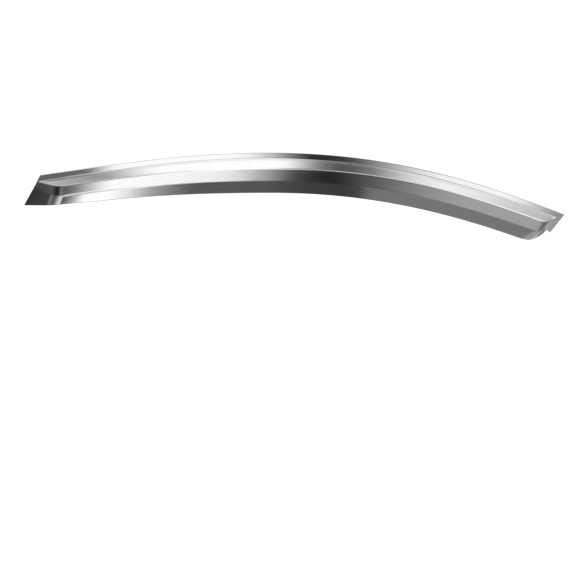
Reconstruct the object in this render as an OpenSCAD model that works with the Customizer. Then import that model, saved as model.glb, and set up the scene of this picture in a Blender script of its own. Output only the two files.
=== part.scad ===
// Window rain deflector for a car door: a moulded visor, held on by two strips of foam tape.
// The origin is the middle of the tape's door face, at mid length.
// +X points to the tab end, -Y out from the door and +Z up. Sizes are in millimetres.

/* [Arch] */
// Length of the flange's top edge, straight across
deflector_l = 996; // [800:2:1300]
// Rise of the flange's top edge at mid length
rise_mid = 85; // [55:0.5:105]
// Rise a quarter of the length in from the cut end
rise_cut_side = 59; // [44:0.5:74]
// Rise a quarter of the length in from the tab end
rise_tab_side = 63; // [44:0.5:78]
// How far the door falls away behind the flange's two ends
door_bow = 14; // [0:0.5:24]

/* [Section] */
// Height of the flat mounting flange
flange_h = 10.5; // [10:0.5:16]
// Thickness of the flange
flange_t = 2.4; // [1.8:0.1:3]
// Thickness of the visor's walls
wall = 2.5; // [1.8:0.1:3]
// How far the shelf slopes out from the flange
shelf_out = 25; // [18:0.5:36]
// How far the shelf drops on its way out
shelf_drop = 11.2; // [8:0.2:16]
// How far the face leans out from the ridge
face_out = 7.5; // [2:0.5:11]
// Height of the face, from the ridge to the fold
face_drop = 21.4; // [15:0.2:28]
// How far the skirt leans out from the fold
skirt_out = 1.5; // [0:0.5:6]
// Height of the skirt, from the fold to the lip
skirt_drop = 22.4; // [15:0.2:30]

/* [Cut end] */
// Share of the full section that is left at the cut end
cut_share = 0.78; // [0.7:0.02:1]
// Length over which the section narrows towards the cut end
narrowing_l = 400; // [200:10:500]
// Height of the slanted cut, from the flange's top to the tip
cut_h = 60; // [52:1:70]
// How far the tip leans out past the end of the flange
cut_lean = 25.5; // [8:0.5:32]
// Height at which the fold meets the cut, below the flange's top
cut_fold_h = 29; // [22:1:36]
// Distance of the ridge's corner from the cut end
cut_ridge_setback = 25; // [17:1:34]
// Distance of the fold's corner from the cut end
cut_fold_setback = 20; // [16:1:34]
// Distance of the lip's corner from the cut end
cut_lip_setback = 12; // [10:1:34]
// Length that the rounded corner takes from each side of it
cut_round = 14; // [4:1:16]
// How far the lip is lifted at the cut end
cut_lift = 3; // [0:0.5:5]
// Length over which the lip comes down again
cut_lift_l = 100; // [60:5:160]

/* [Tab end] */
// Height of the tab, from the flange's top to the tab's foot
tab_h = 38; // [30:1:46]
// How far the tab leans back under the flange
tab_lean = 21.5; // [8:0.5:26]
// Width of the tab
tab_w = 10; // [8:0.5:14]
// Height at which the closed end stops, below the flange's top
foot_h = 42; // [38:1:50]
// Height that is left of the face where it meets the tab
tab_face_h = 6; // [2:0.5:10]
// Distance of the ridge's corner from the tab end
tab_ridge_setback = 40; // [36:1:52]
// Distance of the fold's corner from the tab end
tab_fold_setback = 45; // [38:1:54]
// Distance of the lip's corner from the tab end
tab_lip_setback = 56; // [50:1:66]
// Length that the ridge's and the fold's corner take from each side
tab_round = 13; // [4:1:16]
// Length that the lip's corner takes from each side
tab_lip_round = 23; // [8:1:26]
// Radius of the tab's outer bottom corner
tab_corner_r = 2; // [0.5:0.1:4]

/* [Edges] */
// Rounding of the crease between flange and shelf
crease_r = 1.2; // [0.4:0.1:2]
// Rounding of the ridge between shelf and face
ridge_r = 1.6; // [0.4:0.1:3]
// Rounding of the fold between face and skirt
fold_r = 2.4; // [0.4:0.1:4]
// Rounding of the free edges
edge_r = 0.7; // [0.2:0.1:1.1]
// Rounding of the corners inside the visor
inner_r = 1; // [0.4:0.1:2]

/* [Tape] */
// Thickness of the foam tape
tape_t = 1.1; // [0.6:0.1:2]
// Width of the foam tape
tape_w = 7.5; // [5:0.5:8]
// Distance of the tape from the flange's edges and ends
tape_inset = 1.2; // [0.6:0.1:2]

/* [Hidden] */

half = deflector_l / 2;
face_y = tape_t + flange_t;
// Height of the origin above the flange's two ends
origin_z = rise_mid - tape_inset - tape_w / 2;
// Height that parts the ridge from the crease where a closed end meets the flange
tip_gap = 0.8;
// The corner between flange and tab is cut back by this much under the closed end's wall
tab_bond = 3.2;
// Rounding of the tape's outer edge
tape_edge_r = 0.1;
// Distance from an end at which the flange's lines leave the arch and run straight
flange_setback = 30;

// Steps along a closed end, around its corner, along the arch and around a rounded edge
end_steps = 3;
corner_steps = 8;
arch_steps = 48;
edge_steps = 2;

// The arch is a quartic that falls to zero at both ends and passes through the three rises
arch_b = (rise_tab_side - rise_cut_side) / 0.75;
arch_c = ((rise_tab_side + rise_cut_side) / 1.5 - rise_mid) * 4;
function arch(u) = (1 - u * u) * (rise_mid + arch_b * u + arch_c * u * u);
function slope(u) =
    ((1 - u * u) * (arch_b + 2 * arch_c * u)
     - 2 * u * (rise_mid + arch_b * u + arch_c * u * u)) / half;

function mix(a, b, t) = a + (b - a) * t;
function unit(v) = v / norm(v);
function smooth(t) = t <= 0 ? 0 : t >= 1 ? 1 : t * t * (3 - 2 * t);
function bend(a, v, b, t) = mix(mix(a, v, t), mix(v, b, t), t);

// A line of the section is [drop, reach out, part played at the cut end], where the cut end narrows
// the lines of part 1 and 2, and lifts the line of part 2, the lip
lines = [
    [0, 0, 0],
    [flange_h, 0, 0],
    [flange_h + shelf_drop, shelf_out, 1],
    [flange_h + shelf_drop + face_drop, shelf_out + face_out, 1],
    [flange_h + shelf_drop + face_drop + skirt_drop, shelf_out + face_out + skirt_out, 2]];

// Point of a line at u, from -1 at the cut end to 1 at the tab end, square to the arch
function share(u) = mix(cut_share, 1, smooth((u + 1) * half / narrowing_l));
function lift(u) = mix(cut_lift, 0, smooth((u + 1) * half / cut_lift_l));
function at(line, u) =
    let (m = slope(u),
         n = sqrt(1 + m * m),
         k = line[2] > 0 ? share(u) : 1,
         full_h = line[2] > 0 ? flange_h + (line[0] - flange_h) * k : line[0],
         h = line[2] == 2 ? full_h - lift(u) : full_h)
    [u * half + h * m / n, -face_y - line[1] * k, arch(u) - h / n];

// The door is bowed in plan: every point moves back by the bow at its place, and to the origin
function on_door(p) = p + [0, door_bow * p[0] * p[0] / (half * half), -origin_z];

// The cut is one slanted line on the flange's face
function on_cut(h) = [-half - cut_lean * h / cut_h, -face_y, -h];
cut_slope = slope(-1);
cut_root = at(lines[1], -1);
crease_cut_h = -(cut_root[2] - cut_slope * (half + cut_root[0])) / (1 - cut_slope * cut_lean / cut_h);

// The tab's outer edge and the closed end's foot are parallel, tab_w apart
tab_dir = unit([-tab_lean, 0, -tab_h]);
tab_in = [tab_dir[2], 0, -tab_dir[0]];
tab_top = [half, -face_y, 0];
foot_top = tab_top + tab_in * tab_w;
tab_slope = slope(1);
tab_root = at(lines[1], 1);
function on_foot(h) = foot_top - tab_dir * (foot_top[2] + h) / tab_dir[2];
crease_run = (foot_top[2] - tab_root[2] - tab_slope * (foot_top[0] - tab_root[0]))
    / (tab_slope * tab_dir[0] - tab_dir[2]);
crease_tab = foot_top + tab_dir * crease_run;
crease_tab_h = -crease_tab[2];

// Where each line ends, and how far from the ends it turns
cut_points = [
    on_cut(0),
    on_cut(crease_cut_h),
    on_cut(crease_cut_h + tip_gap),
    on_cut(cut_fold_h),
    on_cut(cut_h)];
tab_points = [
    tab_top,
    crease_tab,
    on_foot(crease_tab_h + tip_gap),
    on_foot(crease_tab_h + tab_face_h),
    on_foot(foot_h)];
cut_setbacks = [flange_setback, flange_setback, cut_ridge_setback, cut_fold_setback, cut_lip_setback];
tab_setbacks = [flange_setback, flange_setback, tab_ridge_setback, tab_fold_setback, tab_lip_setback];
tab_rounds = [tab_round, tab_round, tab_round, tab_round, tab_lip_round];

// One long line of the outer surface: closed end, rounded corner, arch, corner, closed end
function long_line(c) =
    let (line = lines[c],
         u_cut = -1 + cut_setbacks[c] / half,
         u_tab = 1 - tab_setbacks[c] / half,
         u_from = u_cut + cut_round / half,
         u_to = u_tab - tab_rounds[c] / half,
         v_cut = at(line, u_cut),
         v_tab = at(line, u_tab),
         a = v_cut + unit(cut_points[c] - v_cut) * cut_round,
         b = v_tab + unit(tab_points[c] - v_tab) * tab_rounds[c])
    concat(
        [for (i = [0:end_steps - 1]) mix(cut_points[c], a, i / end_steps)],
        [for (i = [0:corner_steps - 1]) bend(a, v_cut, at(line, u_from), i / corner_steps)],
        [for (i = [0:arch_steps - 1]) at(line, mix(u_from, u_to, i / arch_steps))],
        [for (i = [0:corner_steps - 1]) bend(at(line, u_to), v_tab, b, i / corner_steps)],
        [for (i = [0:end_steps]) mix(b, tab_points[c], i / end_steps)]);

outer = [for (c = [0:4]) [for (p = long_line(c)) on_door(p)]];
stations = len(outer[0]);

// Outward normal of the strip below line c at station i
function strip_normal(c, i) =
    let (s = max(1, min(stations - 2, i)),
         run = outer[c][s + 1] - outer[c][s - 1] + outer[c + 1][s + 1] - outer[c + 1][s - 1])
    unit(cross(outer[c + 1][s] - outer[c][s], run));
// Point one wall thickness inside both strips that meet at line c
function inside(c, i) =
    let (n = strip_normal(c - 1, i), m = strip_normal(c, i))
    outer[c][i] - (n + m) * wall / (1 + n * m);
// Where the shelf's underside meets the back of the flange, below the crease
shelf_l = norm([shelf_out, shelf_drop]);
root_drop = (wall * shelf_l - flange_t * shelf_drop) / shelf_out;
function root(i) =
    outer[1][i] + [0, flange_t, 0] + unit(outer[1][i] - outer[0][i]) * root_drop;

// One section at station i: down the outside, around the lip and back up the inside
function corners(i) = [
    outer[0][i], outer[1][i], outer[2][i], outer[3][i], outer[4][i],
    outer[4][i] - strip_normal(3, i) * wall,
    inside(3, i), inside(2, i), root(i),
    outer[0][i] + [0, flange_t, 0]];
corner_radii = [
    edge_r, crease_r, ridge_r, fold_r, edge_r,
    edge_r, inner_r, inner_r, inner_r, edge_r];
function soft(a, v, b, r) =
    let (d = min(r, 0.45 * norm(a - v), 0.45 * norm(b - v)),
         p = v + unit(a - v) * d,
         q = v + unit(b - v) * d)
    [for (k = [0:edge_steps]) bend(p, v, q, k / edge_steps)];
function section(i) =
    let (p = corners(i), n = len(p))
    [for (j = [0:n - 1]) each soft(p[(j + n - 1) % n], p[j], p[(j + 1) % n], corner_radii[j])];

// A closed skin over rings of points, with both ends filled between the rings' two halves
module loft(rings) {
    ring = len(rings[0]);
    last = (len(rings) - 1) * ring;
    skin = [for (i = [0:len(rings) - 2], j = [0:ring - 1])
        let (a = i * ring + j, b = i * ring + (j + 1) % ring, c = b + ring, d = a + ring)
        each [[a, d, c], [a, c, b]]];
    first_cap = [for (j = [0:ring / 2 - 2])
        let (a = j, b = j + 1, c = ring - 2 - j, d = ring - 1 - j)
        each [[a, b, c], [a, c, d]]];
    last_cap = [for (j = [0:ring / 2 - 2])
        let (a = last + j, b = a + 1, c = last + ring - 2 - j, d = c + 1)
        each [[a, c, b], [a, d, c]]];
    polyhedron(points = [for (r = rings) each r], faces = concat(skin, first_cap, last_cap),
               convexity = 8);
}

// A strip against the door between two lines, from y_near to y_near + t in front of it
module strip(first, second, y_near, t, r) {
    loft([for (i = [0:len(first) - 1])
        let (p = on_door([first[i][0], -y_near, first[i][2]]),
             q = on_door([second[i][0], -y_near, second[i][2]]),
             front = [0, -t, 0])
        concat(soft(p, p + front, q + front, r), [q + front, q], soft(q, p, p + front, r))]);
}

module visor_shell() {
    tab_run = tab_h / -tab_dir[2];
    under_wall = tab_in * (tab_w + tab_bond);
    turns = [for (k = [0:corner_steps]) 90 * k / corner_steps];
    runs = [for (a = turns) tab_run - tab_corner_r * (1 - sin(a))];
    color("silver") union() {
        loft([for (i = [0:stations - 1]) section(i)]);
        strip(
            concat([tab_top], [for (k = [0:corner_steps])
                tab_top + tab_dir * runs[k] + tab_in * tab_corner_r * (1 - cos(turns[k]))]),
            concat([crease_tab + tab_in * tab_bond], [for (run = runs)
                tab_top + tab_dir * run + under_wall]),
            tape_t, flange_t, edge_r);
    }
}

module flange_tape() {
    u_end = 1 - tape_inset / half;
    places = [for (i = [0:arch_steps]) mix(-u_end, u_end, i / arch_steps)];
    color("dimgray") strip(
        [for (u = places) at([tape_inset, 0, 0], u)],
        [for (u = places) at([tape_inset + tape_w, 0, 0], u)], 0, tape_t, tape_edge_r);
}

module tab_tape() {
    start = (flange_h + tape_inset) / -tab_dir[2];
    end = tab_h / -tab_dir[2] - tape_inset;
    outer_line = [for (run = [start, end]) tab_top + tab_in * tape_inset + tab_dir * run];
    color("dimgray") strip(outer_line, [for (p = outer_line) p + tab_in * tape_w],
                          0, tape_t, tape_edge_r);
}

visor_shell();
flange_tape();
tab_tape();
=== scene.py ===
"""Looks of a car door's window rain deflector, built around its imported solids.

The deflector is one chrome plated moulding: a flat flange that is taped to the door, a shelf, a face and
a skirt, closed at both ends and with a tab at one of them. Sizes are in metres, in the solids' own frame:
+X runs to the tab end, -Y out from the door and +Z up.
"""

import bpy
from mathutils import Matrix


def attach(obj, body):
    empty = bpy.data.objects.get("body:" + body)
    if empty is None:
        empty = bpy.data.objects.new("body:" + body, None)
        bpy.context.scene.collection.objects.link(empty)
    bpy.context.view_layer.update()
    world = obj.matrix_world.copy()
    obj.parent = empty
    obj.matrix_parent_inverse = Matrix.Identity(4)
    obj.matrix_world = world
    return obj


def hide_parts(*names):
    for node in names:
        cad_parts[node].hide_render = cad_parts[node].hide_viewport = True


bl_info = {
    "name": "Window Rain Deflector",
    "version": (1, 0, 0),
    "blender": (4, 5, 0),
    "location": "3D View > Sidebar > Deflector",
    "description": "Builds a chrome plated rain deflector, its foam tapes and a white studio",
    "category": "Add Mesh",
}

import math

import bpy
from bpy.props import FloatProperty, FloatVectorProperty, PointerProperty
from bpy.types import Operator, Panel, PropertyGroup
from mathutils import Matrix, Vector

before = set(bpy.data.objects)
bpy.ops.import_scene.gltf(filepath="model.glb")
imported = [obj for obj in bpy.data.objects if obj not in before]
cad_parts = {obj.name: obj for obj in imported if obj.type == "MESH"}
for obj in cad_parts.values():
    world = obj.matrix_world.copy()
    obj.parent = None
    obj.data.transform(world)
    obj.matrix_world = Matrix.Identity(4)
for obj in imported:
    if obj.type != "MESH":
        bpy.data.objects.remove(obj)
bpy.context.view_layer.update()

BODY = "root"

# Steps along a closed end, around its corner, along the arch and around a rounded edge
END_STEPS = 8
CORNER_STEPS = 24
ARCH_STEPS = 384
EDGE_STEPS = 6
# Steps along the tape, and around the tab's rounded bottom corner
TAPE_STEPS = 192
TAB_CORNER_STEPS = 12
# Points across each flat strip of the section, the outer two this close to its rounded edges
STRIP_POINTS = 3
HOLD = 0.00025
# Rounding of the wall's rim at the cut end and at the tab's foot
RIM = 0.0004
# The plain back of the section starts and stops here, counted round its ring of points
CORNER_POINTS = EDGE_STEPS + 1
STRIDE = CORNER_POINTS + STRIP_POINTS
BACK_FIRST = 4 * STRIDE + 2 * CORNER_POINTS - 1
BACK_LAST = BACK_FIRST + 4 * STRIDE - EDGE_STEPS
# Shading breaks at edges sharper than this, in radians
SHARP_ANGLE = math.radians(40)

# Polishing streaks: how many to the metre along and across, their slant to +X in radians, and how deep they
# ruffle the front and the back, in metres
STREAKS_ALONG = 45
STREAKS_ACROSS = 450
STREAK_SLANT = 0.28
FRONT_RUFFLE = 0.000005
BACK_RUFFLE = 0.00002

# The light tent around the deflector, which only its reflections show. Its lists of stops are azimuth and
# brightness, where azimuth 0 is straight out from the door and 90 past the tab end, in degrees. The chrome
# dims what it reflects, and WHITE is bright enough to look white in it.
WHITE = 1.15
CUT_FLANK = [(-180, 0.8), (-130, 0.02), (-70, 0.02)]
CUT_CLOSURE = [(-67, 0.05), (-57, 0.2), (-47, 0.1), (-38, 0.25), (-25, 0.7), (-20, 0.7)]
TAB_FLANK = [(60, 0.25), (75, 0.15), (180, 0.8)]
SKIRT_SIDE = [
    (-10, 0.9), (-8, 0.4), (-3, 0.1), (5, 0.1), (12, 0.05), (16, 0.05), (18, 0.2), (45, 0.2), (52, 0.4)]
CUT_REAR = [(-180, WHITE), (-146, WHITE), (-140, 0.8), (-135, 0.35), (-128, 0.55)]
TAB_SIDE = [(40, 0.2), (46, 0.55), (53, 1), (60, 1), (66, 0.65)]
DOOR_SIDE = [(117, 0.45), (126, 1), (139, 0.2), (146, 0.1), (152, 0.2), (171, WHITE), (180, WHITE)]
# Each band holds from its first to its second elevation and turns evenly into the next one
TENT = [
    (-90, -24, [
        (-180, 0.4), (-130, 0.05), (38, 0.05), (54, 0.5), (60, 0.3), (126, 0.5), (131, 0.15), (180, 0.4)]),
    (-20.5, -16.2, CUT_FLANK + [
        (-60, 0.05), (-45, 0.7), (-31, 0.1), (-10, 0.15), (-7, WHITE), (4, WHITE), (12, 0.02), (15, 0.05),
        (26, 1.1), (31, 1.1), (37, 0.3), (46, 0.2), (52, 0.4)] + TAB_FLANK),
    (-15.2, -12, CUT_FLANK + CUT_CLOSURE + [
        (-16, 0.2), (-15, 0), (-14, 0), (-13, 1.4)] + SKIRT_SIDE + TAB_FLANK),
    (-9, 0, CUT_FLANK + CUT_CLOSURE + [(-16, 0.5), (-12, 1)] + SKIRT_SIDE + TAB_FLANK),
    (11, 20, CUT_FLANK + [
        (-66, 0.1), (-60, 0.05), (-41, 0.02), (-30, 0.2), (-22, 0.1), (-18, WHITE), (-14, 1.1), (-4, 0.95),
        (3, 0.45), (9, 0.05), (14, 0.02), (20, 0.1), (36, 0.4), (50, 0.4)] + TAB_FLANK),
    (26, 50, CUT_REAR + [
        (-115, 0.4), (-34, 0.1), (-18, WHITE), (4, WHITE), (14, 0.1), (28, 0.05)] + TAB_SIDE + [
        (74, 0.8), (82, 1.7), (102, 1.7), (110, 0.6)] + DOOR_SIDE),
    (58, 75, CUT_REAR + [
        (-75, 0.8), (-51, 0.4), (-40, WHITE), (5, WHITE), (18, 0.8), (26, 0.35), (31, 0.2)] + TAB_SIDE + [
        (100, 0.6)] + DOOR_SIDE),
    (82, 90, [
        (-180, WHITE), (-8, WHITE), (15, 0.9), (35, 0.3), (60, 0.2), (152, 0.2),
        (171, WHITE), (180, WHITE)]),
]
TENT_RADIUS = 3.2
# The tent's bottom lies flat, this far above the floor
TENT_CLEARANCE = 0.05
# Degrees between the tent's points, around it and upwards
TENT_STEP = 0.25
TENT_ROW = 4

# The floor's half width and own glow, and the lamp above it
FLOOR_HALF = 6
FLOOR_GLOW = 0.35
LAMP_SIZE = 0.8
LAMP_WATTS = 18
LAMP_PLACE = (0, 0.3, 2.2)


def size(name, description, default, low, high):
    """A length that the user may change, in metres."""
    return FloatProperty(
        name=name, description=description, default=default, min=low, max=high,
        precision=4, subtype="DISTANCE", unit="LENGTH")


class ArchSizes(PropertyGroup):
    """The long curve of the flange's top edge."""

    deflector_l: size("Length", "Length of the flange's top edge, straight across", 0.996, 0.8, 1.3)
    rise_mid: size("Rise", "Rise of the flange's top edge at mid length", 0.085, 0.055, 0.105)
    rise_cut_side: size(
        "Rise, cut side", "Rise a quarter of the length in from the cut end", 0.059, 0.044, 0.074)
    rise_tab_side: size(
        "Rise, tab side", "Rise a quarter of the length in from the tab end", 0.063, 0.044, 0.078)
    door_bow: size("Door bow", "How far the door falls away behind the flange's two ends", 0.014, 0, 0.024)


class SectionSizes(PropertyGroup):
    """The visor cut across, from the flange down to the lip."""

    flange_h: size("Flange height", "Height of the flat mounting flange", 0.0105, 0.01, 0.016)
    flange_t: size("Flange thickness", "Thickness of the flange", 0.0024, 0.0018, 0.003)
    wall: size("Wall", "Thickness of the visor's walls", 0.0025, 0.0018, 0.003)
    shelf_out: size("Shelf reach", "How far the shelf slopes out from the flange", 0.025, 0.018, 0.036)
    shelf_drop: size("Shelf drop", "How far the shelf drops on its way out", 0.0112, 0.008, 0.016)
    face_out: size("Face lean", "How far the face leans out from the ridge", 0.0075, 0.002, 0.011)
    face_drop: size("Face height", "Height of the face, from the ridge to the fold", 0.0214, 0.015, 0.028)
    skirt_out: size("Skirt lean", "How far the skirt leans out from the fold", 0.0015, 0, 0.006)
    skirt_drop: size("Skirt height", "Height of the skirt, from the fold to the lip", 0.0224, 0.015, 0.03)


class CutEndSizes(PropertyGroup):
    """The end that stops on one slanted line."""

    share: FloatProperty(
        name="Narrowing", description="Share of the full section that is left at the cut end",
        default=0.78, min=0.7, max=1, subtype="FACTOR")
    narrowing_l: size("Narrowing length", "Length over which the section narrows", 0.4, 0.2, 0.5)
    height: size(
        "Cut height", "Height of the slanted cut, from the flange's top to the tip", 0.06, 0.052, 0.07)
    lean: size("Cut lean", "How far the tip leans out past the end of the flange", 0.0255, 0.008, 0.032)
    fold_h: size("Fold height", "Height at which the fold meets the cut", 0.029, 0.022, 0.036)
    ridge_setback: size(
        "Ridge setback", "Distance of the ridge's corner from the cut end", 0.025, 0.017, 0.034)
    fold_setback: size("Fold setback", "Distance of the fold's corner from the cut end", 0.02, 0.016, 0.034)
    lip_setback: size("Lip setback", "Distance of the lip's corner from the cut end", 0.012, 0.01, 0.034)
    rounding: size(
        "Corner rounding", "Length that the corner takes from each side of it", 0.014, 0.004, 0.016)
    lift: size("Lip lift", "How far the lip is lifted at the cut end", 0.003, 0, 0.005)
    lift_l: size("Lip lift length", "Length over which the lip comes down again", 0.1, 0.06, 0.16)


class TabEndSizes(PropertyGroup):
    """The end with the tab."""

    tab_h: size(
        "Tab height", "Height of the tab, from the flange's top to the tab's foot", 0.038, 0.03, 0.046)
    tab_lean: size("Tab lean", "How far the tab leans back under the flange", 0.0215, 0.008, 0.026)
    tab_w: size("Tab width", "Width of the tab", 0.01, 0.008, 0.014)
    foot_h: size("Foot height", "Height at which the closed end stops", 0.042, 0.038, 0.05)
    face_h: size(
        "Face at the tab", "Height that is left of the face where it meets the tab", 0.006, 0.002, 0.01)
    ridge_setback: size(
        "Ridge setback", "Distance of the ridge's corner from the tab end", 0.04, 0.036, 0.052)
    fold_setback: size("Fold setback", "Distance of the fold's corner from the tab end", 0.045, 0.038, 0.054)
    lip_setback: size("Lip setback", "Distance of the lip's corner from the tab end", 0.056, 0.05, 0.066)
    rounding: size(
        "Corner rounding", "Length that the ridge's and the fold's corner take", 0.013, 0.004, 0.016)
    lip_rounding: size(
        "Lip rounding", "Length that the lip's corner takes from each side", 0.023, 0.008, 0.026)
    corner_r: size("Tab corner", "Radius of the tab's outer bottom corner", 0.002, 0.0005, 0.004)


class EdgeSizes(PropertyGroup):
    """The rounding of each edge of the section."""

    crease_r: size("Crease", "Rounding of the crease between flange and shelf", 0.0007, 0.0004, 0.002)
    ridge_r: size("Ridge", "Rounding of the ridge between shelf and face", 0.0016, 0.0004, 0.003)
    fold_r: size("Fold", "Rounding of the fold between face and skirt", 0.0024, 0.0004, 0.004)
    edge_r: size("Free edges", "Rounding of the free edges", 0.0007, 0.0002, 0.0011)
    inner_r: size("Inner corners", "Rounding of the corners inside the visor", 0.001, 0.0004, 0.002)


class TapeSizes(PropertyGroup):
    """The two strips of foam tape on the back of the flange and the tab."""

    tape_t: size("Tape thickness", "Thickness of the foam tape", 0.0011, 0.0006, 0.002)
    tape_w: size("Tape width", "Width of the foam tape", 0.0075, 0.005, 0.008)
    inset: size("Tape inset", "Distance of the tape from the flange's edges and ends", 0.0012, 0.0006, 0.002)
    edge_r: size("Tape edge", "Rounding of the tape's outer edge", 0.0001, 0.00005, 0.0003)


class Finish(PropertyGroup):
    """The plating and the foam."""

    chrome: FloatVectorProperty(
        name="Chrome", description="Colour of the chrome plating", subtype="COLOR", size=3,
        default=(0.86, 0.86, 0.87), min=0, max=1)
    front_roughness: FloatProperty(
        name="Front roughness", description="Roughness of the polished front",
        default=0.07, min=0, max=1, subtype="FACTOR")
    back_roughness: FloatProperty(
        name="Back roughness", description="Roughness of the unpolished back",
        default=0.24, min=0, max=1, subtype="FACTOR")
    foam: FloatVectorProperty(
        name="Foam", description="Colour of the foam tape", subtype="COLOR", size=3,
        default=(0.05, 0.05, 0.055), min=0, max=1)


class Studio(PropertyGroup):
    """The camera and the light."""

    azimuth: FloatProperty(
        name="Azimuth", description="Direction of the camera round the deflector, 0 from straight ahead",
        default=math.radians(-12), subtype="ANGLE", unit="ROTATION")
    elevation: FloatProperty(
        name="Elevation", description="Height of the camera above the horizon",
        default=math.radians(22), subtype="ANGLE", unit="ROTATION")
    roll: FloatProperty(
        name="Roll", description="Turn of the camera about its own line of sight",
        default=math.radians(8.15), subtype="ANGLE", unit="ROTATION")
    distance: size("Distance", "Distance of the camera from the point that it looks at", 2.777, 1, 6)
    aim: FloatVectorProperty(
        name="Aim", description="Point that the camera looks at", subtype="XYZ", unit="LENGTH", size=3,
        default=(-0.0341, -0.0589, -0.2396))
    lens: FloatProperty(
        name="Lens", description="Focal length of the camera, in millimetres",
        default=93.75, min=20, max=200)
    floor_drop: size("Floor", "Distance of the floor below the origin", 1.3, 0.3, 3)
    soft_light: FloatProperty(
        name="Soft light", description="Strength of the light from all around", default=0.9, min=0, max=2)


class Deflector(PropertyGroup):
    """Everything that can be set on the deflector."""

    arch: PointerProperty(type=ArchSizes, name="Arch", description="The long curve")
    section: PointerProperty(type=SectionSizes, name="Section", description="The visor cut across")
    cut_end: PointerProperty(type=CutEndSizes, name="Cut end", description="The slanted end")
    tab_end: PointerProperty(type=TabEndSizes, name="Tab end", description="The end with the tab")
    edges: PointerProperty(type=EdgeSizes, name="Edges", description="The rounded edges")
    tape: PointerProperty(type=TapeSizes, name="Tape", description="The foam tape")
    finish: PointerProperty(type=Finish, name="Finish", description="Plating and foam")
    studio: PointerProperty(type=Studio, name="Studio", description="Camera and light")


def mix(a, b, t):
    return a + (b - a) * t


def smooth(t):
    t = min(1, max(0, t))
    return t * t * (3 - 2 * t)


def bend(a, v, b, t):
    """Point of the curve that leaves a towards v and reaches b from v."""
    return mix(mix(a, v, t), mix(v, b, t), t)


def toward(a, b, distance):
    return a + (b - a).normalized() * distance


def soft(a, v, b, r):
    """Corner v between a and b, rounded over the length r on each side."""
    d = min(r, 0.45 * (a - v).length, 0.45 * (b - v).length)
    p, q = toward(v, a, d), toward(v, b, d)
    return [bend(p, v, q, k / EDGE_STEPS) for k in range(EDGE_STEPS + 1)]


def held_strip(a, b):
    """Points across a flat strip: one close to each edge, to keep it flat, and one in the middle."""
    hold = min(HOLD, 0.2 * (b - a).length)
    return [toward(a, b, hold), mix(a, b, 0.5), toward(b, a, hold)]


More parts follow.
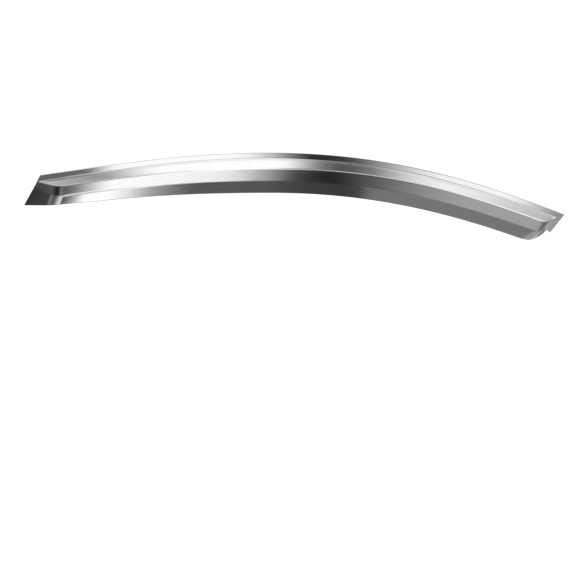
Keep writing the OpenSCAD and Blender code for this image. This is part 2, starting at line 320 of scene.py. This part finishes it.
class VisorShape:
    """The visor's long lines and its sections."""

    def __init__(self, deflector):
        arch, section, tape = deflector.arch, deflector.section, deflector.tape
        self.cut_end, self.tab_end, self.edges = deflector.cut_end, deflector.tab_end, deflector.edges
        self.section, self.tape = section, tape
        self.rise, self.bow = arch.rise_mid, arch.door_bow
        self.half = arch.deflector_l / 2
        self.face_y = tape.tape_t + section.flange_t
        self.origin_z = arch.rise_mid - tape.inset - tape.tape_w / 2
        # The arch is a quartic that falls to zero at both ends and passes through the three rises
        self.lean = (arch.rise_tab_side - arch.rise_cut_side) / 0.75
        self.fullness = ((arch.rise_tab_side + arch.rise_cut_side) / 1.5 - arch.rise_mid) * 4
        ridge = section.flange_h + section.shelf_drop
        fold = ridge + section.face_drop
        fold_out = section.shelf_out + section.face_out
        # A line of the section is its drop, its reach out, and whether the cut end narrows and lifts it
        self.lines = [
            (0, 0, False, False),
            (section.flange_h, 0, False, False),
            (ridge, section.shelf_out, True, False),
            (fold, fold_out, True, False),
            (fold + section.skirt_drop, fold_out + section.skirt_out, True, True)]
        self.place_ends()
        self.outer = [[self.on_door(p) for p in self.long_line(c)] for c in range(len(self.lines))]
        self.stations = len(self.outer[0])

    def arch(self, u):
        return (1 - u * u) * (self.rise + self.lean * u + self.fullness * u * u)

    def slope(self, u):
        inner = self.rise + self.lean * u + self.fullness * u * u
        return ((1 - u * u) * (self.lean + 2 * self.fullness * u) - 2 * u * inner) / self.half

    def at(self, line, u):
        """Point of a line at u, from -1 at the cut end to 1 at the tab end, square to the arch."""
        drop, reach, narrowed, lifted = line
        m = self.slope(u)
        n = math.hypot(1, m)
        if narrowed:
            k = mix(self.cut_end.share, 1, smooth((u + 1) * self.half / self.cut_end.narrowing_l))
            drop = self.section.flange_h + (drop - self.section.flange_h) * k
            reach *= k
        if lifted:
            drop -= mix(self.cut_end.lift, 0, smooth((u + 1) * self.half / self.cut_end.lift_l))
        return Vector((u * self.half + drop * m / n, -self.face_y - reach, self.arch(u) - drop / n))

    def on_door(self, p):
        """The door is bowed in plan: a point moves back by the bow at its place, and to the origin."""
        return p + Vector((0, self.bow * (p.x / self.half) ** 2, -self.origin_z))

    def place_ends(self):
        """Where each line ends on the cut and on the tab, and how far from the ends it turns."""
        cut, tab = self.cut_end, self.tab_end
        tip_gap, flange_setback = 0.0008, 0.03

        def on_cut(h):
            return Vector((-self.half - cut.lean * h / cut.height, -self.face_y, -h))

        root, m = self.at(self.lines[1], -1), self.slope(-1)
        crease_h = -(root.z - m * (self.half + root.x)) / (1 - m * cut.lean / cut.height)
        self.cut_points = [
            on_cut(0), on_cut(crease_h), on_cut(crease_h + tip_gap), on_cut(cut.fold_h), on_cut(cut.height)]
        self.tab_dir = Vector((-tab.tab_lean, 0, -tab.tab_h)).normalized()
        self.tab_in = Vector((self.tab_dir.z, 0, -self.tab_dir.x))
        self.tab_top = Vector((self.half, -self.face_y, 0))
        foot_top = self.tab_top + self.tab_in * tab.tab_w

        def on_foot(h):
            return foot_top - self.tab_dir * (foot_top.z + h) / self.tab_dir.z

        root, m = self.at(self.lines[1], 1), self.slope(1)
        run = (foot_top.z - root.z - m * (foot_top.x - root.x)) / (m * self.tab_dir.x - self.tab_dir.z)
        self.crease_tab = foot_top + self.tab_dir * run
        crease_h = -self.crease_tab.z
        self.tab_points = [
            self.tab_top, self.crease_tab, on_foot(crease_h + tip_gap),
            on_foot(crease_h + tab.face_h), on_foot(tab.foot_h)]
        self.cut_setbacks = [flange_setback] * 2 + [cut.ridge_setback, cut.fold_setback, cut.lip_setback]
        self.tab_setbacks = [flange_setback] * 2 + [tab.ridge_setback, tab.fold_setback, tab.lip_setback]
        self.tab_rounds = [tab.rounding] * 4 + [tab.lip_rounding]

    def long_line(self, c):
        """One long line of the outside: closed end, rounded corner, arch, corner, closed end."""
        line, cut_round, tab_round = self.lines[c], self.cut_end.rounding, self.tab_rounds[c]
        u_cut = -1 + self.cut_setbacks[c] / self.half
        u_tab = 1 - self.tab_setbacks[c] / self.half
        u_from, u_to = u_cut + cut_round / self.half, u_tab - tab_round / self.half
        v_cut, v_tab = self.at(line, u_cut), self.at(line, u_tab)
        cut_point, tab_point = self.cut_points[c], self.tab_points[c]
        a, b = toward(v_cut, cut_point, cut_round), toward(v_tab, tab_point, tab_round)
        first, last = self.at(line, u_from), self.at(line, u_to)
        return (
            [mix(cut_point, a, i / END_STEPS) for i in range(END_STEPS)]
            + [bend(a, v_cut, first, i / CORNER_STEPS) for i in range(CORNER_STEPS)]
            + [self.at(line, mix(u_from, u_to, i / ARCH_STEPS)) for i in range(ARCH_STEPS)]
            + [bend(last, v_tab, b, i / CORNER_STEPS) for i in range(CORNER_STEPS)]
            + [mix(b, tab_point, i / END_STEPS) for i in range(END_STEPS + 1)])

    def strip_normal(self, c, i):
        """Outward direction of the strip below line c at station i."""
        s = max(1, min(self.stations - 2, i))
        above, below = self.outer[c], self.outer[c + 1]
        run = above[s + 1] - above[s - 1] + below[s + 1] - below[s - 1]
        return (below[s] - above[s]).cross(run).normalized()

    def inside(self, c, i):
        """Point one wall inside both strips that meet at line c."""
        n, m = self.strip_normal(c - 1, i), self.strip_normal(c, i)
        return self.outer[c][i] - (n + m) * self.section.wall / (1 + n.dot(m))

    def section_ring(self, i):
        """Ring of points round the section at station i, down the outside and back up the inside."""
        s, edges, outer = self.section, self.edges, [line[i] for line in self.outer]
        back = Vector((0, s.flange_t, 0))
        shelf_l = math.hypot(s.shelf_out, s.shelf_drop)
        root_drop = (s.wall * shelf_l - s.flange_t * s.shelf_drop) / s.shelf_out
        root = outer[1] + back + (outer[1] - outer[0]).normalized() * root_drop
        corners = outer + [
            outer[4] - self.strip_normal(3, i) * s.wall,
            self.inside(3, i), self.inside(2, i), root, outer[0] + back]
        radii = [edges.edge_r, edges.crease_r, edges.ridge_r, edges.fold_r, edges.edge_r]
        radii += [edges.edge_r] + [edges.inner_r] * 3 + [edges.edge_r]
        n = len(corners)
        rounded = [soft(corners[j - 1], corners[j], corners[(j + 1) % n], radii[j]) for j in range(n)]
        ring = []
        for j, corner in enumerate(rounded):
            ring += corner
            if j not in (4, n - 1):
                ring += held_strip(corner[-1], rounded[j + 1][0])
        return ring

    def shell_rings(self):
        """The sections from the cut end, whose rim is rounded, to the tab end."""
        rings = [self.section_ring(i) for i in range(self.stations)]
        return rim(rings[0], rings[1], RIM) + rings[1:]

    def door_strip(self, first, second, y_near, t, r, sink=0.0):
        """Rings of a strip between two outlines, from y_near to y_near + t in front of the door.

        The first ring is thinner by sink, so that it stays below a surface that it runs into.
        """
        rings = []
        for k, (a, b) in enumerate(zip(first, second)):
            front = Vector((0, sink - t if k == 0 else -t, 0))
            p, q = [self.on_door(Vector((v.x, -y_near, v.z))) for v in (a, b)]
            rings.append(soft(p, p + front, q + front, r) + [q + front, q] + soft(q, p, p + front, r))
        return rings

    def tab_rings(self):
        """The tab, from the end of the flange down to its foot."""
        tab, bond, sink = self.tab_end, 0.0032, 0.00005
        run_end = -tab.tab_h / self.tab_dir.z
        outer, inner = [self.tab_top], [self.crease_tab + self.tab_in * bond]
        for k in range(TAB_CORNER_STEPS + 1):
            turn = math.radians(90) * k / TAB_CORNER_STEPS
            down = self.tab_top + self.tab_dir * (run_end - tab.corner_r * (1 - math.sin(turn)))
            outer.append(down + self.tab_in * tab.corner_r * (1 - math.cos(turn)))
            inner.append(down + self.tab_in * (tab.tab_w + bond))
        rings = self.door_strip(
            outer, inner, self.tape.tape_t, self.section.flange_t, self.edges.edge_r, sink)
        return rings[:-1] + rim(rings[-1], rings[-2], RIM)[::-1]

    def flange_tape_rings(self):
        tape = self.tape
        u_end = 1 - tape.inset / self.half
        places = [mix(-u_end, u_end, i / TAPE_STEPS) for i in range(TAPE_STEPS + 1)]
        outer, inner = [
            [self.at((drop, 0, False, False), u) for u in places]
            for drop in (tape.inset, tape.inset + tape.tape_w)]
        return self.door_strip(outer, inner, 0, tape.tape_t, tape.edge_r)

    def tab_tape_rings(self):
        tape = self.tape
        start = -(self.section.flange_h + tape.inset) / self.tab_dir.z
        end = -self.tab_end.tab_h / self.tab_dir.z - tape.inset
        outer = [self.tab_top + self.tab_in * tape.inset + self.tab_dir * run for run in (start, end)]
        inner = [p + self.tab_in * tape.tape_w for p in outer]
        return self.door_strip(outer, inner, 0, tape.tape_t, tape.edge_r)


def rim(ring, beyond, r):
    """Rings that round the open end of a wall: from r inside the edge of its end face to r along it."""
    n = len(ring)
    across = sum((ring[j].cross(ring[(j + 1) % n]) for j in range(n)), Vector()).normalized()
    inward = [across.cross(ring[(j + 1) % n] - ring[j - 1]).normalized() * r for j in range(n)]
    along = [toward(v, w, min(r, 0.5 * (w - v).length)) for v, w in zip(ring, beyond)]
    return [
        [bend(v + i, v, w, k / EDGE_STEPS) for v, i, w in zip(ring, inward, along)]
        for k in range(EDGE_STEPS + 1)]


def loft(name, rings):
    """A closed mesh over rings of points."""
    n, last = len(rings[0]), (len(rings) - 1) * len(rings[0])
    faces = [
        (i + j, i + (j + 1) % n, i + n + (j + 1) % n, i + n + j)
        for i in range(0, last, n) for j in range(n)]
    for j in range(n // 2 - 1):
        faces.append((j, n - 1 - j, n - 2 - j, j + 1))
        faces.append((last + j, last + j + 1, last + n - 2 - j, last + n - 1 - j))
    mesh = bpy.data.meshes.new(name)
    mesh.from_pydata([p for ring in rings for p in ring], [], faces)
    mesh.polygons.foreach_set("use_smooth", [True] * len(faces))
    return mesh


def place(name, mesh):
    """An object of that mesh, which moves with the deflector's one body."""
    piece = bpy.data.objects.new(name, mesh)
    bpy.context.scene.collection.objects.link(piece)
    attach(piece, BODY)
    return piece


def united(piece, other):
    """Joins other into piece as one closed skin."""
    union = piece.modifiers.new("union", "BOOLEAN")
    union.operation = "UNION"
    union.solver = "MANIFOLD"
    union.object = other
    bpy.context.view_layer.update()
    evaluated = piece.evaluated_get(bpy.context.evaluated_depsgraph_get())
    mesh = bpy.data.meshes.new_from_object(evaluated)
    if len(mesh.polygons) <= len(piece.data.polygons):
        raise RuntimeError(f"{other.name} didn't join {piece.name}")
    piece.modifiers.remove(union)
    piece.data = mesh
    bpy.data.objects.remove(other)


def shade_flats_flat(piece):
    """Turns the shading of rounded edges in with the flats beside them, and breaks it at sharp corners."""
    piece.data.set_sharp_from_angle(angle=SHARP_ANGLE)
    weighted = piece.modifiers.new("weighted", "WEIGHTED_NORMAL")
    weighted.keep_sharp = True
    bpy.context.view_layer.update()
    evaluated = piece.evaluated_get(bpy.context.evaluated_depsgraph_get())
    mesh = bpy.data.meshes.new_from_object(evaluated)
    piece.modifiers.remove(weighted)
    piece.data = mesh


class NodeTree:
    """A short way to add and join the nodes of a material or of the world."""

    def __init__(self, owner):
        owner.use_nodes = True
        self.tree = owner.node_tree
        self.tree.nodes.clear()

    def add(self, kind, inputs=(), **settings):
        """A node of that kind. inputs maps its sockets to numbers, colours or other nodes' outputs."""
        node = self.tree.nodes.new(kind)
        for key, value in settings.items():
            setattr(node, key, value)
        for socket, value in dict(inputs).items():
            if isinstance(value, bpy.types.NodeSocket):
                self.tree.links.new(value, node.inputs[socket])
            else:
                node.inputs[socket].default_value = value
        return node

    def streaks(self):
        """Noise drawn out into straight slanted streaks."""
        position = self.add("ShaderNodeTexCoord")
        turned = self.add("ShaderNodeVectorRotate", {
            "Vector": position.outputs["Object"],
            "Axis": (0, 1, 0),
            "Angle": STREAK_SLANT}, rotation_type="AXIS_ANGLE")
        scaled = self.add("ShaderNodeMapping", {
            "Vector": turned.outputs["Vector"],
            "Scale": (STREAKS_ALONG, STREAKS_ACROSS, STREAKS_ACROSS)})
        return self.add(
            "ShaderNodeTexNoise", {"Vector": scaled.outputs["Vector"], "Scale": 1, "Detail": 2})

    def between(self, value, low, high):
        """Value's usual range, 0.3 to 0.7, spread out from low to high."""
        spread = self.add("ShaderNodeMapRange", {
            "Value": value, "From Min": 0.3, "From Max": 0.7, "To Min": low, "To Max": high})
        return spread.outputs["Result"]

    def finish(self, shader, kind="ShaderNodeOutputMaterial"):
        self.add(kind, {"Surface": shader})


def plating(name, finish, roughness, ruffle):
    """Chrome plating with faint straight polishing streaks, which also ruffle its reflections a little."""
    material = bpy.data.materials.new(name)
    nodes = NodeTree(material)
    streaks = nodes.streaks()
    darker, lighter, smoother, rougher = 0.9, 1.1, 0.8, 1.2
    tone = nodes.add("ShaderNodeMix", {
        "Factor": streaks.outputs["Fac"],
        "A": [c * darker for c in finish.chrome] + [1],
        "B": [min(1, c * lighter) for c in finish.chrome] + [1]}, data_type="RGBA")
    bump = nodes.add("ShaderNodeBump", {"Height": streaks.outputs["Fac"], "Distance": ruffle, "Strength": 1})
    chrome = nodes.add("ShaderNodeBsdfPrincipled", {
        "Base Color": tone.outputs["Result"],
        "Metallic": 1,
        "Roughness": nodes.between(streaks.outputs["Fac"], roughness * smoother, roughness * rougher),
        "Normal": bump.outputs["Normal"]})
    nodes.finish(chrome.outputs["BSDF"])
    return material


def foam(finish):
    """Matt foam with fine open cells."""
    material = bpy.data.materials.new("foam_tape")
    nodes = NodeTree(material)
    cells_per_m, patches_per_m, cell_depth = 2600, 160, 0.0001
    darker, lighter, smoother, rougher = 0.75, 1.3, 0.8, 0.95
    position = nodes.add("ShaderNodeTexCoord").outputs["Object"]
    cells = nodes.add("ShaderNodeTexVoronoi", {"Vector": position, "Scale": cells_per_m})
    patches = nodes.add("ShaderNodeTexNoise", {"Vector": position, "Scale": patches_per_m, "Detail": 4})
    tone = nodes.add("ShaderNodeMix", {
        "Factor": nodes.between(patches.outputs["Fac"], 0, 1),
        "A": [c * darker for c in finish.foam] + [1],
        "B": [c * lighter for c in finish.foam] + [1]}, data_type="RGBA")
    bump = nodes.add("ShaderNodeBump", {
        "Height": cells.outputs["Distance"], "Distance": cell_depth, "Strength": 0.6})
    rubber = nodes.add("ShaderNodeBsdfPrincipled", {
        "Base Color": tone.outputs["Result"],
        "Roughness": nodes.between(patches.outputs["Fac"], smoother, rougher),
        "Normal": bump.outputs["Normal"]})
    nodes.finish(rubber.outputs["BSDF"])
    return material


class RAIN_DEFLECTOR_OT_visor(Operator):
    """Builds the chrome plated moulding: flange, shelf, face, skirt, closed ends and tab"""

    bl_idname = "rain_deflector.visor"
    bl_label = "Chrome Visor"

    def execute(self, context):
        deflector = context.scene.rain_deflector
        finish, shape = deflector.finish, VisorShape(deflector)
        front = plating("chrome_front", finish, finish.front_roughness, FRONT_RUFFLE)
        back = plating("chrome_back", finish, finish.back_roughness, BACK_RUFFLE)
        rings = shape.shell_rings()
        shell, tab = loft("visor", rings), loft("tab", shape.tab_rings())
        for mesh in (shell, tab):
            mesh.materials.append(front)
            mesh.materials.append(back)
        ring = len(rings[0])
        for polygon in shell.polygons[:(len(rings) - 1) * ring]:
            polygon.material_index = BACK_FIRST <= polygon.index % ring < BACK_LAST
        visor = place("Chrome_Visor", shell)
        united(visor, place("Tab", tab))
        shade_flats_flat(visor)
        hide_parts("visor_shell")
        return {"FINISHED"}


class RAIN_DEFLECTOR_OT_tapes(Operator):
    """Builds the two strips of foam tape that hold the deflector to the door"""

    bl_idname = "rain_deflector.tapes"
    bl_label = "Foam Tapes"

    def execute(self, context):
        deflector = context.scene.rain_deflector
        shape, rubber = VisorShape(deflector), foam(deflector.finish)
        strips = [
            ("Flange_Tape", "flange_tape", shape.flange_tape_rings()),
            ("Tab_Tape", "tab_tape", shape.tab_tape_rings())]
        for name, node, rings in strips:
            tape = place(name, loft(name, rings))
            tape.data.materials.append(rubber)
            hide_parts(node)
        return {"FINISHED"}


def staged(name, data):
    """An object of the studio, which is no part of the deflector."""
    prop = bpy.data.objects.new(name, data)
    bpy.context.scene.collection.objects.link(prop)
    return prop


def white_surroundings(studio):
    """The world is plain white to the eye and in reflections, and lights the deflector softly."""
    world = bpy.data.worlds.new("white_studio")
    bpy.context.scene.world = world
    nodes = NodeTree(world)
    path = nodes.add("ShaderNodeLightPath")
    seen = nodes.add("ShaderNodeMath", {
        0: path.outputs["Is Camera Ray"], 1: path.outputs["Is Glossy Ray"]}, operation="ADD")
    seen = nodes.add("ShaderNodeMath", {
        0: seen.outputs[0], 1: path.outputs["Is Transmission Ray"]}, operation="ADD", use_clamp=True)
    light = nodes.add("ShaderNodeBackground", {"Color": (1, 1, 1, 1), "Strength": studio.soft_light})
    white = nodes.add("ShaderNodeBackground", {"Color": (1, 1, 1, 1), "Strength": 1})
    both = nodes.add("ShaderNodeMixShader", {
        0: seen.outputs[0], 1: light.outputs["Background"], 2: white.outputs["Background"]})
    nodes.finish(both.outputs["Shader"], "ShaderNodeOutputWorld")


def floor(studio):
    """A pale floor that keeps the deflector's shadow."""
    half, z = FLOOR_HALF, -studio.floor_drop
    corners = [(-half, -half, z), (half, -half, z), (half, half, z), (-half, half, z)]
    mesh = bpy.data.meshes.new("floor")
    mesh.from_pydata(corners, [], [(0, 1, 2, 3)])
    material = bpy.data.materials.new("pale_floor")
    nodes = NodeTree(material)
    glow = nodes.add("ShaderNodeEmission", {"Color": (1, 1, 1, 1), "Strength": FLOOR_GLOW})
    matt = nodes.add("ShaderNodeBsdfDiffuse", {"Color": (0.8, 0.8, 0.8, 1)})
    both = nodes.add("ShaderNodeAddShader", {0: glow.outputs[0], 1: matt.outputs[0]})
    nodes.finish(both.outputs["Shader"])
    mesh.materials.append(material)
    staged("Floor", mesh)


def gradation(stops, azimuth):
    """Brightness at an azimuth: a smooth curve through the stops that never overshoots them."""
    rises = [(b[1] - a[1]) / (b[0] - a[0]) for a, b in zip(stops, stops[1:])]

    def slope(k):
        before, after = rises[max(0, k - 1)], rises[min(len(rises) - 1, k)]
        return 2 * before * after / (before + after) if before * after > 0 else 0

    k = max(i for i in range(len(rises)) if stops[i][0] <= azimuth)
    (start, low), (end, high) = stops[k], stops[k + 1]
    run = end - start
    t = (azimuth - start) / run
    return (
        mix(low, high, smooth(t))
        + run * t * (1 - t) * ((1 - t) * slope(k) - t * slope(k + 1)))


def tent_brightness(azimuth, elevation):
    """Brightness of the tent in one direction."""
    for low, high, stops in TENT:
        if low <= elevation <= high:
            return gradation(stops, azimuth)
    for (_, below, first), (above, _, second) in zip(TENT, TENT[1:]):
        if below < elevation < above:
            t = (elevation - below) / (above - below)
            return mix(gradation(first, azimuth), gradation(second, azimuth), t)
    raise ValueError(f"the tent has no band at {elevation}")


def tent(studio):
    """A light tent of soft white and dark cards, for the chrome to reflect."""
    edges = {edge for low, high, _ in TENT for edge in (low, high) if abs(edge) < 90}
    elevations = sorted(edges | set(range(-88, 89, TENT_ROW)))
    azimuths = [k * TENT_STEP - 180 for k in range(round(360 / TENT_STEP) + 1)]
    depth = studio.floor_drop - TENT_CLEARANCE
    points, greys = [], []
    for elevation in elevations:
        e = math.radians(elevation)
        reach = TENT_RADIUS
        if elevation < 0:
            reach = min(reach, depth / -math.sin(e))
        for azimuth in azimuths:
            a = math.radians(azimuth)
            points.append((
                reach * math.cos(e) * math.sin(a), -reach * math.cos(e) * math.cos(a), reach * math.sin(e)))
            grey = tent_brightness(azimuth, elevation)
            greys += [grey, grey, grey, 1]
    n = len(azimuths)
    faces = [
        (i + j, i + j + 1, i + n + j + 1, i + n + j)
        for i in range(0, (len(elevations) - 1) * n, n) for j in range(n - 1)]
    mesh = bpy.data.meshes.new("tent")
    mesh.from_pydata(points, [], faces)
    mesh.attributes.new("grey", "FLOAT_COLOR", "POINT").data.foreach_set("color", greys)
    material = bpy.data.materials.new("tent_light")
    nodes = NodeTree(material)
    grey = nodes.add("ShaderNodeAttribute", attribute_name="grey")
    light = nodes.add("ShaderNodeEmission", {"Color": (1, 1, 1, 1), "Strength": grey.outputs["Fac"]})
    nodes.finish(light.outputs["Emission"])
    mesh.materials.append(material)
    prop = staged("Light_Tent", mesh)
    prop.visible_camera = prop.visible_diffuse = prop.visible_shadow = False
    prop.visible_transmission = prop.visible_volume_scatter = False


def lamp():
    """One soft lamp high above, which gives the floor its shadow."""
    data = bpy.data.lights.new("soft_lamp", "AREA")
    data.shape, data.size, data.energy = "DISK", LAMP_SIZE, LAMP_WATTS
    prop = bpy.data.objects.new("Soft_Lamp", data)
    bpy.context.scene.collection.objects.link(prop)
    prop.location = LAMP_PLACE
    prop.visible_glossy = False


def camera(studio):
    """The camera at the photograph's viewing angle."""
    a, e, roll = studio.azimuth, studio.elevation, studio.roll
    back = Vector((math.sin(a) * math.cos(e), -math.cos(a) * math.cos(e), math.sin(e)))
    level = Vector((math.cos(a), math.sin(a), 0))
    up = back.cross(level)
    right, top = level * math.cos(roll) + up * math.sin(roll), up * math.cos(roll) - level * math.sin(roll)
    data = bpy.data.cameras.new("photo_view")
    data.lens, data.sensor_width = studio.lens, 36
    view = bpy.data.objects.new("Camera", data)
    bpy.context.scene.collection.objects.link(view)
    view.matrix_world = (
        Matrix.Translation(Vector(studio.aim) + back * studio.distance)
        @ Matrix((right, top, back)).transposed().to_4x4())
    bpy.context.scene.camera = view


class RAIN_DEFLECTOR_OT_studio(Operator):
    """Builds the floor, the white surroundings, the light and the camera"""

    bl_idname = "rain_deflector.studio"
    bl_label = "Studio"

    def execute(self, context):
        studio = context.scene.rain_deflector.studio
        context.scene.view_settings.view_transform = "Standard"
        white_surroundings(studio)
        floor(studio)
        tent(studio)
        lamp()
        camera(studio)
        return {"FINISHED"}


class RAIN_DEFLECTOR_PT_panel(Panel):
    """The deflector's operators and sizes"""

    bl_label = "Window Rain Deflector"
    bl_space_type = "VIEW_3D"
    bl_region_type = "UI"
    bl_category = "Deflector"

    def draw(self, context):
        for operator in OPERATORS:
            self.layout.operator(operator.bl_idname)
        deflector = context.scene.rain_deflector
        for part in deflector.bl_rna.properties.keys():
            group = getattr(deflector, part)
            if isinstance(group, PropertyGroup):
                box = self.layout.box()
                box.label(text=deflector.bl_rna.properties[part].name)
                for name in group.__annotations__:
                    box.prop(group, name)


OPERATORS = [RAIN_DEFLECTOR_OT_visor, RAIN_DEFLECTOR_OT_tapes, RAIN_DEFLECTOR_OT_studio]
CLASSES = [
    ArchSizes, SectionSizes, CutEndSizes, TabEndSizes, EdgeSizes, TapeSizes, Finish, Studio, Deflector,
    *OPERATORS, RAIN_DEFLECTOR_PT_panel]


def register():
    for cls in CLASSES:
        bpy.utils.register_class(cls)
    bpy.types.Scene.rain_deflector = PointerProperty(type=Deflector)


def unregister():
    del bpy.types.Scene.rain_deflector
    for cls in reversed(CLASSES):
        bpy.utils.unregister_class(cls)


def main():
    register()
    bpy.ops.rain_deflector.visor()
    bpy.ops.rain_deflector.tapes()
    bpy.ops.rain_deflector.studio()


if __name__ == "__main__":
    main()
